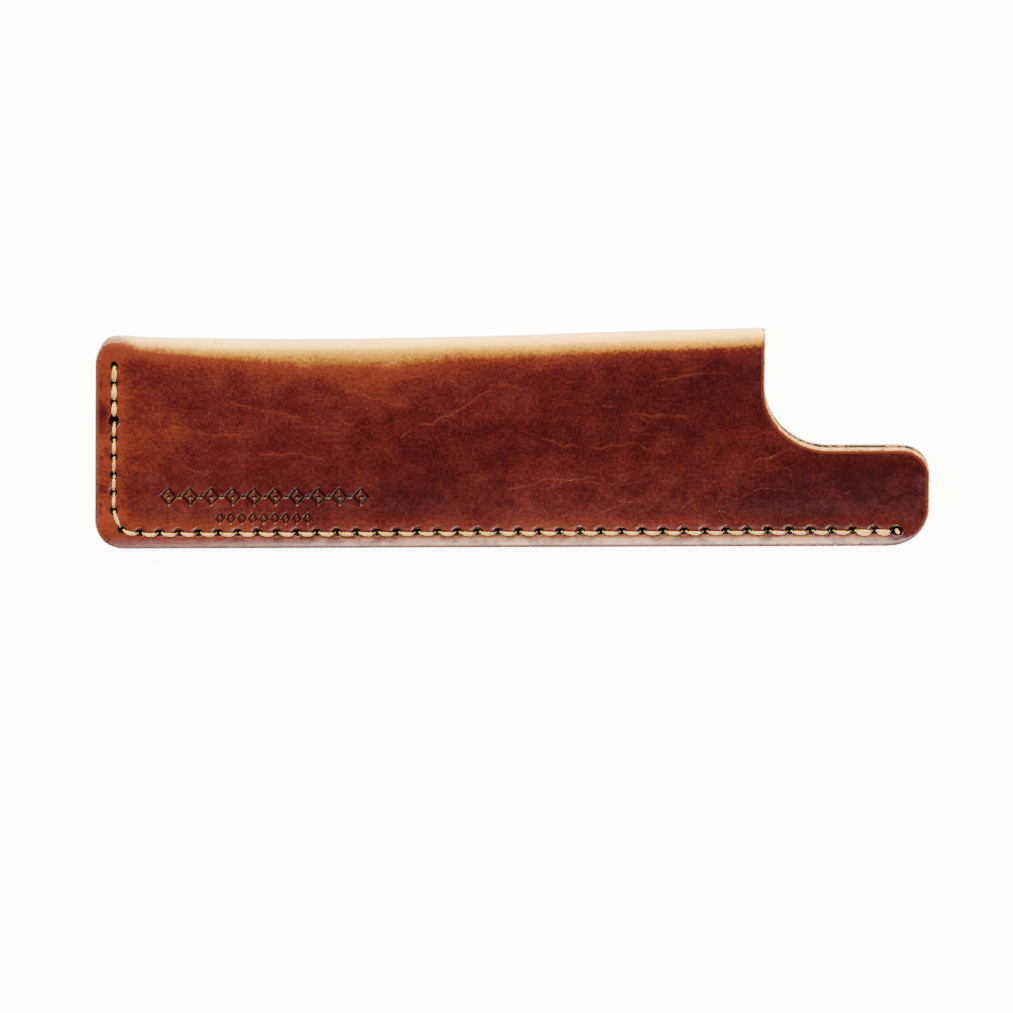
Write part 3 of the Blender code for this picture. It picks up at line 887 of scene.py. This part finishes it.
def grain_side():
    """Glossy pull-up leather: deep red-brown, orange and pale where wax has been pushed away, with painted
    highlights over the fold and along the sewn margin, and painted shade round the holes, in the tool marks
    and along the rim.
    """
    leather = Shader(
        "leather_grain", Coat_Weight=0.25, Coat_Roughness=0.15, Coat_IOR=1.45, Specular_IOR_Level=0.3
    )
    x, y, _ = leather.node("ShaderNodeSeparateXYZ", {0: leather.place}).outputs
    to_edge, to_seam = leather.mark("to_edge"), leather.mark("to_seam")
    to_fold, to_hole = leather.mark("to_fold"), leather.mark("to_hole")

    cloud = leather.noise(26, 3, 0.55)
    mottle = leather.noise(4.2, 5, 0.62)
    speck = leather.noise(0.6, 4, 0.75)
    streak = leather.noise(9, 4, 0.6, stretch=(0.35, 1.6, 1))
    bent = leather.bent_place(7, 6)
    veins = leather.cells(8.5, "DISTANCE_TO_EDGE", leather.vector("MULTIPLY", bent, (0.55, 1.25, 1)))
    vein = leather.ramp(veins, 0.0, 0.028, 1.0, 0.0)
    vein = leather.math("MULTIPLY", vein, leather.ramp(leather.noise(15, 2), 0.45, 0.68))

    # Pull-up: along the fold, widest left of the middle, along the seam and at the closed end; also painted
    # light, lighter towards the left end.
    left = leather.ramp(x, -75, 40, 1.0, 0.0)
    wide = leather.math("MULTIPLY", leather.ramp(x, -60, -34), leather.ramp(x, -30, 30, 1.0, 0.0))
    reach = leather.math("ADD", NARROW_REACH, leather.math("MULTIPLY", wide, WIDER_BY))
    fold_fade = leather.math("DIVIDE", to_fold, leather.math("MULTIPLY", reach, -1.0))
    fold_pull = leather.math("EXPONENT", fold_fade)
    seam_pull = leather.ramp(to_seam, 0.3, 4.0, 1.0, 0.0)
    low_pull = leather.ramp(y, -18, -8, 1.0, 0.0)
    end_pull = leather.ramp(x, -74, -67, 1.0, 0.0)
    pull = leather.math("MULTIPLY", fold_pull, 0.85)
    for share, strength in ((seam_pull, 0.2), (low_pull, 0.16), (end_pull, 0.25), (left, 0.14)):
        pull = leather.math("ADD", pull, leather.math("MULTIPLY", share, strength))
    uneven = 0.0
    for pattern, strength in ((cloud, 0.6), (mottle, 0.6), (streak, 0.5), (speck, 1.3)):
        centred = leather.math("SUBTRACT", pattern, 0.5)
        uneven = leather.math("ADD", uneven, leather.math("MULTIPLY", centred, strength))
    # Painted shade: darker towards the right end.
    shade_to_right = leather.math("MULTIPLY", leather.ramp(x, 0, 75), 0.2)
    from_patch = leather.math("ABSOLUTE", leather.math("SUBTRACT", y, DARK_PATCH_Y))
    near_patch = leather.ramp(from_patch, 1.5, 4.5, 1.0, 0.0)
    blotches = leather.math("MAXIMUM", near_patch, leather.ramp(mottle, 0.5, 0.62))
    patch = leather.math("MULTIPLY", blotches, leather.ramp(x, -74, -70.5, 0.5, 0.0))
    pull = leather.math("SUBTRACT", pull, leather.math("ADD", shade_to_right, patch))
    tone = leather.math("ADD", leather.math("ADD", pull, uneven), 0.27)

    colour = leather.mix(leather.ramp(tone, 0.0, 0.45), DEEP, BROWN)
    colour = leather.mix(leather.ramp(tone, 0.3, 1.0), colour, ORANGE)
    # Painted highlight over the fold: the pale there is the pull-up's paling and the fold's highlight
    # painted in, fading away from the fold.
    beyond = leather.math("DIVIDE", to_fold, leather.math("MULTIPLY", reach, 1.35))
    pull_up_and_highlight = leather.math("SUBTRACT", leather.mark("over_fold"), beyond)
    pull_up_and_highlight = leather.math("SUBTRACT", pull_up_and_highlight, leather.ramp(x, -74, -46, 0.5, 0.0))
    pull_up_and_highlight = leather.math("SUBTRACT", pull_up_and_highlight, leather.ramp(x, -75, -66, 1.0, 0.0))
    pull_up_and_highlight = leather.math("ADD", pull_up_and_highlight, leather.math("MULTIPLY", uneven, 0.7))
    colour = leather.mix(leather.ramp(pull_up_and_highlight, -0.5, 0.5), colour, PALE)
    creased = leather.math("MULTIPLY", leather.mark("crease"), 0.55)
    line = leather.math("MAXIMUM", creased, leather.math("MULTIPLY", vein, 0.16))
    colour = leather.mix(line, colour, ORANGE)
    # Painted highlight along the sewn bottom margin, brighter towards the right and broken up by the
    # mottle.
    margin_highlight = leather.ramp(to_edge, 0.35, 0.9)
    for share in (
        leather.ramp(to_edge, 1.5, 2.7, 1.0, 0.0),
        leather.ramp(x, -68, 10, 0.0, 0.85),
        leather.ramp(x, 63, 70, 1.0, 0.0),
        leather.ramp(y, -17.6, -16.6, 1.0, 0.0),
        leather.ramp(mottle, 0.4, 0.56, 0.3, 1.0),
    ):
        margin_highlight = leather.math("MULTIPLY", margin_highlight, share)
    colour = leather.mix(margin_highlight, colour, MARGIN_HIGHLIGHT)
    inside_edge = leather.ramp(to_edge, 0.5, 1.0, 1.0, 0.0)
    colour = leather.mix(leather.math("MULTIPLY", inside_edge, 0.6), colour, ORANGE)
    # Dark along the rim where the face rounds over the cut edge: edge dye and painted shade.
    rim = leather.ramp(to_edge, 0.12, 0.5, 1.0, 0.0)
    colour = leather.mix(leather.math("MULTIPLY", rim, 0.85), colour, UMBER)
    # Painted shade round each stitch hole.
    hole_shade = leather.ramp(to_hole, 0.5, 0.95, 1.0, 0.0)
    colour = leather.mix(leather.math("MULTIPLY", hole_shade, 0.9), colour, UMBER)
    # Darker in the tool marks: the tool's burnish and painted shade in the pressed hollows.
    colour = leather.mix(leather.math("MULTIPLY", leather.mark("tooled"), 0.8), colour, UMBER)
    # Painted shade: a narrow dark line along the top of the fold.
    colour = leather.mix(leather.math("MULTIPLY", leather.mark("fold_shade"), 0.85), colour, BROWN)
    dirt = leather.ramp(leather.noise(0.9, 2, 0.5, stretch=(0.6, 1, 1)), 0.7, 0.78)
    colour = leather.mix(leather.math("MULTIPLY", dirt, 0.5), colour, UMBER)

    pores = leather.cells(0.42)
    normal = leather.bump(pores, 0.022)
    normal = leather.bump(leather.noise(0.17, 2, 0.6), 0.012, normal)
    normal = leather.bump(leather.noise(1.6, 3, 0.6), 0.05, normal)
    normal = leather.bump(leather.math("SUBTRACT", 1.0, vein), 0.02, normal)
    dullness = leather.math("ADD", mottle, leather.math("MULTIPLY", speck, 0.5))
    roughness = leather.ramp(dullness, 0.4, 1.05, 0.25, 0.34)
    return leather.finish(Base_Color=colour, Roughness=roughness, Normal=normal)


def cut_edge():
    """Tan, fibrous leather where it is cut. Burnished and dark along the seam, the dark partly painted
    shade.
    """
    edge = Shader("leather_edge", Specular_IOR_Level=0.15)
    fibre = edge.noise(0.5, 4, 0.65, stretch=(0.5, 0.5, 2.2))
    fleck = edge.noise(1.5, 3, 0.6)
    sewn = edge.ramp(edge.mark("to_seam"), 3.6, 6.0, 1.0, 0.0)
    colour = edge.mix(edge.ramp(fibre, 0.32, 0.68), (0.17, 0.055, 0.014), (0.56, 0.31, 0.11))
    colour = edge.mix(edge.ramp(fleck, 0.56, 0.68, 0.0, 0.75), colour, (0.07, 0.022, 0.012))
    # Dark along the sewn edges: burnish and painted shade.
    burnished_and_shaded = edge.mix(edge.ramp(fibre, 0.3, 0.7), (0.018, 0.004, 0.005), (0.06, 0.014, 0.01))
    colour = edge.mix(edge.math("MULTIPLY", sewn, 0.92), colour, burnished_and_shaded)
    # Painted shade: near black down the stitch holes.
    in_hole = edge.ramp(edge.mark("to_hole"), 1.1, 1.5, 0.97, 0.0)
    colour = edge.mix(in_hole, colour, (0.003, 0.001, 0.001))
    normal = edge.bump(fibre, 0.16)
    roughness = edge.math("MAXIMUM", edge.ramp(sewn, 0, 1, 0.85, 0.55), in_hole)
    return edge.finish(Base_Color=colour, Roughness=roughness, Normal=normal)


def flesh_side():
    """Undyed suede nap."""
    flesh = Shader(
        "leather_flesh", Roughness=0.95, Specular_IOR_Level=0.15, Sheen_Weight=0.3, Sheen_Roughness=0.6
    )
    nap = flesh.noise(0.45, 4, 0.7, stretch=(0.5, 1.3, 1))
    cloud = flesh.noise(9, 3, 0.6)
    colour = flesh.mix(flesh.ramp(nap, 0.3, 0.7), (0.2, 0.085, 0.036), (0.42, 0.22, 0.105))
    colour = flesh.mix(flesh.ramp(cloud, 0.4, 0.7, 0.0, 0.5), colour, (0.26, 0.11, 0.05))
    # Painted shade: near black in broken dashes close to the cut edge, where the gap between the layers
    # lies in shade.
    gap_shade = flesh.ramp(flesh.mark("to_edge"), 0.5, 4.0, 0.97, 0.0)
    gap_shade = flesh.math("MULTIPLY", gap_shade, flesh.ramp(flesh.noise(1.1, 2), 0.36, 0.46, 0.35, 1.0))
    colour = flesh.mix(gap_shade, colour, (0.006, 0.003, 0.002))
    return flesh.finish(Base_Color=colour, Normal=flesh.bump(nap, 0.14))


def waxed_thread():
    """Cream thread: fibres, wax, and dye picked up from the leather."""
    thread = Shader("waxed_thread", Sheen_Weight=0.1, Sheen_Roughness=0.5, Specular_IOR_Level=0.3)
    fibre = thread.noise(0.22, 3, 0.6)
    stain = thread.noise(3.4, 3, 0.6)
    colour = thread.mix(thread.ramp(fibre, 0.3, 0.7), (0.46, 0.29, 0.1), (0.82, 0.64, 0.3))
    colour = thread.mix(thread.ramp(stain, 0.5, 0.78, 0.0, 0.7), colour, (0.16, 0.06, 0.018))
    roughness = thread.ramp(stain, 0.3, 0.7, 0.45, 0.7)
    return thread.finish(Base_Color=colour, Roughness=roughness, Normal=thread.bump(fibre, 0.05))


def brushed_steel():
    """Steel brushed along the comb."""
    steel = Shader("comb_steel", Metallic=1.0, Anisotropic=0.4)
    brushing = steel.noise(0.16, 4, 0.7, stretch=(0.03, 1, 1))
    haze = steel.noise(11, 3, 0.6)
    colour = steel.mix(steel.ramp(brushing, 0.3, 0.7), (0.33, 0.325, 0.31), (0.56, 0.55, 0.53))
    dulled = steel.ramp(haze, 0.4, 0.7, 0.0, 0.08)
    roughness = steel.math("ADD", steel.ramp(brushing, 0.3, 0.7, 0.2, 0.3), dulled)
    return steel.finish(Base_Color=colour, Roughness=roughness, Normal=steel.bump(brushing, 0.01))


def floor_paper():
    """White paper that glows, so that it comes out plain white."""
    paper = Shader("floor_paper", Roughness=0.9, Specular_IOR_Level=0.1, Emission_Strength=FLOOR_GLOW)
    tooth = paper.noise(1.2, 3, 0.6)
    colour = paper.mix(tooth, (0.86, 0.86, 0.86), (0.9, 0.9, 0.9))
    return paper.finish(Base_Color=colour, Emission_Color=colour, Normal=paper.bump(tooth, 0.03))


# ---- Camera, light and floor ----

FLOOR_GLOW = 12.0
CAMERA_TILT_DEG = 17.0
LENS, SENSOR = 300.0, 36.0
IMAGE_SIDE = 1013
PIXELS_PER_MM = 5.547
AIM = Vector((-0.98, -12.47, 4.0)) * MM
LIGHT_DISTANCE = 0.8  # metres
FLOOR_HALF = 1.6  # metres
FLOOR_STEPS = 8
FLOOR_DROP = 0.02


def add_camera():
    data = bpy.data.cameras.new("camera")
    data.lens = LENS
    data.sensor_width = SENSOR
    camera = bpy.data.objects.new("camera", data)
    bpy.context.scene.collection.objects.link(camera)
    tilt = math.radians(CAMERA_TILT_DEG)
    distance = IMAGE_SIDE / PIXELS_PER_MM * LENS / SENSOR * MM
    camera.location = AIM + distance * Vector((0, math.sin(tilt), math.cos(tilt)))
    camera.rotation_euler = (-tilt, 0, 0)
    bpy.context.scene.camera = camera


def add_softbox(name, lean_deg, turn_deg, distance, width, height, watts, colour):
    """A soft light aimed at the sheath. lean is from straight up, and turn is from +Y towards -X."""
    data = bpy.data.lights.new(name, "AREA")
    data.shape = "RECTANGLE"
    data.size, data.size_y = width, height
    data.energy = watts
    data.color = colour
    light = bpy.data.objects.new(name, data)
    lean, turn = math.radians(lean_deg), math.radians(turn_deg)
    towards = Vector((-math.sin(turn) * math.sin(lean), math.cos(turn) * math.sin(lean), math.cos(lean)))
    light.location = towards * distance
    light.rotation_euler = towards.to_track_quat("Z", "Y").to_euler()
    bpy.context.scene.collection.objects.link(light)


def add_floor():
    x = np.linspace(-FLOOR_HALF, FLOOR_HALF, FLOOR_STEPS + 1)
    places = np.array([(a, b, 0) for a in x for b in x]) / MM
    row = FLOOR_STEPS + 1
    faces = []
    for i in range(FLOOR_STEPS):
        for j in range(FLOOR_STEPS):
            corner = i * row + j
            faces.append([corner, corner + row, corner + row + 1, corner + 1])
    floor = make_mesh("floor", places, faces, [floor_paper()])
    floor.location.z = -FLOOR_DROP * MM


def add_lights():
    for name, lean_deg, turn_deg, width, height, watts, colour in (
        ("back_softbox", 66, 14, 1.5, 0.8, 60, (1.0, 0.86, 0.46)),
        ("front_strip", 57, 200, 0.7, 0.14, 9, (1.0, 0.8, 0.76)),
    ):
        add_softbox(name, lean_deg, turn_deg, LIGHT_DISTANCE, width, height, watts, colour)
    world = bpy.data.worlds.new("studio")
    world.use_nodes = True
    background = world.node_tree.nodes["Background"]
    background.inputs["Color"].default_value = (0.9, 0.92, 1.0, 1)
    background.inputs["Strength"].default_value = 0.05
    bpy.context.scene.world = world


# ---- The scene ----

add_camera()
add_lights()
add_floor()

leather = make_leather([grain_side(), cut_edge(), flesh_side()])
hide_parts("sheath_leather")
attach(leather, "sheath")

thread = waxed_thread()
for name, side, node in (("front_stitches", 1, "needle_thread"), ("back_stitches", -1, "bobbin_thread")):
    stitches = make_stitches(name, side, thread)
    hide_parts(node)
    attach(stitches, "sheath")

comb = make_comb(brushed_steel())
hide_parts("comb")
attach(comb, "comb")
